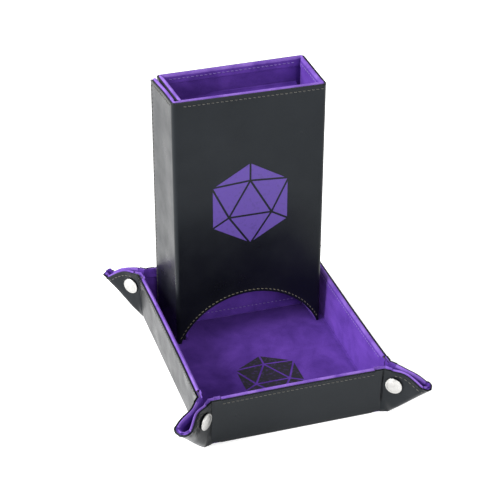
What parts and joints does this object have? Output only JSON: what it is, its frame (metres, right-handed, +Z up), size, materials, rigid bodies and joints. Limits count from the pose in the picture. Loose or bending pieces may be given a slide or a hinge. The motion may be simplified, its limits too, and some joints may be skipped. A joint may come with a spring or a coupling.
{
  "type": "dice tower",
  "caption": "Folding dice tower in black leather and purple velvet, with an arched exit, standing in a shallow tray whose corners are pinched and snapped.",
  "frame": {"origin": "centre of the tray's underside, on the surface it stands on", "axes": "+Z up, the tower's arch faces -Y, +X to the right when looking at the arch"},
  "size_m": [0.1836, 0.2226, 0.1997],
  "materials": {
    "leather": "smooth black leatherette with a fine grain, satin",
    "velvet": "purple short-pile velvet with a brushed nap",
    "board": "grey-brown stiffener board, hidden",
    "snap_metal": "satin nickel",
    "hook_strip": "dark woven tape with small hooks",
    "loop_strip": "dark looped pile tape",
    "purple_print": "purple ink on leather",
    "black_print": "black ink on velvet"
  },
  "bodies": {
    "tray_base": {"tray_base_skin": "leather", "tray_base_board": "board", "tray_base_lining": "velvet", "floor_emblem": "black_print"},
    "wall_front": {"wall_front_skin": "leather", "wall_front_board": "board", "wall_front_lining": "velvet"},
    "wall_back": {"wall_back_skin": "leather", "wall_back_board": "board", "wall_back_lining": "velvet"},
    "wall_left": {"wall_left_skin": "leather", "wall_left_board": "board", "wall_left_lining": "velvet"},
    "wall_right": {"wall_right_skin": "leather", "wall_right_board": "board", "wall_right_lining": "velvet"},
    "leaf_fr_end": {"corner_fr_end_leaf": "leather", "snap_fr_socket": "snap_metal"},
    "leaf_fr_side": {"corner_fr_side_leaf": "leather", "snap_fr_stud": "snap_metal"},
    "leaf_fl_end": {"corner_fl_end_leaf": "leather", "snap_fl_socket": "snap_metal"},
    "leaf_fl_side": {"corner_fl_side_leaf": "leather", "snap_fl_stud": "snap_metal"},
    "leaf_br_end": {"corner_br_end_leaf": "leather", "snap_br_stud": "snap_metal"},
    "leaf_br_side": {"corner_br_side_leaf": "leather", "snap_br_socket": "snap_metal"},
    "leaf_bl_end": {"corner_bl_end_leaf": "leather", "snap_bl_stud": "snap_metal"},
    "leaf_bl_side": {"corner_bl_side_leaf": "leather", "snap_bl_socket": "snap_metal"},
    "tower": {"back_skin": "leather", "back_board": "board", "back_lining": "velvet", "right_skin": "leather", "right_board": "board", "right_lining": "velvet", "inner_flap_skin": "leather", "inner_flap_board": "board", "inner_flap_lining": "velvet", "loop_strip": "loop_strip"},
    "front": {"front_skin": "leather", "front_board": "board", "front_lining": "velvet", "front_emblem": "purple_print"},
    "outer_flap": {"outer_flap_skin": "leather", "outer_flap_board": "board", "outer_flap_lining": "velvet", "hook_strip": "hook_strip"},
    "upper_baffle": {"upper_baffle_board": "board", "upper_baffle_cover": "velvet"},
    "middle_baffle": {"middle_baffle_board": "board", "middle_baffle_cover": "velvet"},
    "exit_ramp": {"exit_ramp_board": "board", "exit_ramp_cover": "velvet"}
  },
  "joints": [
    {"name": "tray_fold", "type": "hinge", "parent": "tray_base", "child": "wall_front", "pos_m": [0, -0.08605, 0.00045], "axis": [1, 0, 0], "range_deg": [0, 81.5]},
    {"name": "back_wall_fold", "type": "hinge", "parent": "tray_base", "child": "wall_back", "pos_m": [0, 0.08605, 0.00045], "axis": [-1, 0, 0], "range_deg": [0, 81.5]},
    {"name": "left_wall_fold", "type": "hinge", "parent": "tray_base", "child": "wall_left", "pos_m": [-0.06655, 0, 0.00045], "axis": [0, -1, 0], "range_deg": [0, 81.5]},
    {"name": "right_wall_fold", "type": "hinge", "parent": "tray_base", "child": "wall_right", "pos_m": [0.06655, 0, 0.00045], "axis": [0, 1, 0], "range_deg": [0, 81.5]},
    {"name": "fr_end_leaf_fold", "type": "hinge", "parent": "wall_front", "child": "leaf_fr_end", "pos_m": [0.0618, -0.08605, 0.00045], "axis": [0, -0.0698, 0.9976], "range_deg": [0, 40.13]},
    {"name": "fr_side_leaf_fold", "type": "hinge", "parent": "wall_right", "child": "leaf_fr_side", "pos_m": [0.06655, -0.0813, 0.00045], "axis": [-0.0698, 0, -0.9976], "range_deg": [0, 40.13]},
    {"name": "fl_end_leaf_fold", "type": "hinge", "parent": "wall_front", "child": "leaf_fl_end", "pos_m": [-0.0618, -0.08605, 0.00045], "axis": [0, 0.0698, -0.9976], "range_deg": [0, 40.13]},
    {"name": "fl_side_leaf_fold", "type": "hinge", "parent": "wall_left", "child": "leaf_fl_side", "pos_m": [-0.06655, -0.0813, 0.00045], "axis": [-0.0698, 0, 0.9976], "range_deg": [0, 40.13]},
    {"name": "br_end_leaf_fold", "type": "hinge", "parent": "wall_back", "child": "leaf_br_end", "pos_m": [0.0618, 0.08605, 0.00045], "axis": [0, -0.0698, -0.9976], "range_deg": [0, 40.13]},
    {"name": "br_side_leaf_fold", "type": "hinge", "parent": "wall_right", "child": "leaf_br_side", "pos_m": [0.06655, 0.0813, 0.00045], "axis": [0.0698, 0, 0.9976], "range_deg": [0, 40.13]},
    {"name": "bl_end_leaf_fold", "type": "hinge", "parent": "wall_back", "child": "leaf_bl_end", "pos_m": [-0.0618, 0.08605, 0.00045], "axis": [0, 0.0698, 0.9976], "range_deg": [0, 40.13]},
    {"name": "bl_side_leaf_fold", "type": "hinge", "parent": "wall_left", "child": "leaf_bl_side", "pos_m": [-0.06655, 0.0813, 0.00045], "axis": [0.0698, 0, -0.9976], "range_deg": [0, 40.13]},
    {"name": "tower_lift", "type": "slide", "parent": "tray_base", "child": "tower", "axis": [0, 0, 1], "range_m": [0, 0.12]},
    {"name": "front_open", "type": "hinge", "parent": "tower", "child": "front", "pos_m": [0.059, 0.0302, 0.1], "axis": [0, 0, 1], "range_deg": [0, 84]},
    {"name": "flap_open", "type": "hinge", "parent": "front", "child": "outer_flap", "pos_m": [-0.0528, 0.0302, 0.1], "axis": [0, 0, 1], "range_deg": [0, 7]},
    {"name": "upper_baffle_fold", "type": "hinge", "parent": "tower", "child": "upper_baffle", "pos_m": [0, 0.076, 0.1785], "axis": [1, 0, 0], "range_deg": [0, 44]},
    {"name": "middle_baffle_fold", "type": "hinge", "parent": "front", "child": "middle_baffle", "pos_m": [0, 0.0362, 0.122], "axis": [-1, 0, 0], "range_deg": [0, 44]},
    {"name": "ramp_fold", "type": "hinge", "parent": "tower", "child": "exit_ramp", "pos_m": [0, 0.076, 0.034], "axis": [-1, 0, 0], "range_deg": [0, 146]}
  ],
  "couplings": [
    {"joint": "back_wall_fold", "follows": "tray_fold", "ratio": 1},
    {"joint": "left_wall_fold", "follows": "tray_fold", "ratio": 1},
    {"joint": "right_wall_fold", "follows": "tray_fold", "ratio": 1},
    {"joint": "fr_end_leaf_fold", "follows": "tray_fold", "ratio": 0.4912},
    {"joint": "fr_side_leaf_fold", "follows": "tray_fold", "ratio": 0.4912},
    {"joint": "fl_end_leaf_fold", "follows": "tray_fold", "ratio": 0.4912},
    {"joint": "fl_side_leaf_fold", "follows": "tray_fold", "ratio": 0.4912},
    {"joint": "br_end_leaf_fold", "follows": "tray_fold", "ratio": 0.4912},
    {"joint": "br_side_leaf_fold", "follows": "tray_fold", "ratio": 0.4912},
    {"joint": "bl_end_leaf_fold", "follows": "tray_fold", "ratio": 0.4912},
    {"joint": "bl_side_leaf_fold", "follows": "tray_fold", "ratio": 0.4912}
  ]
}
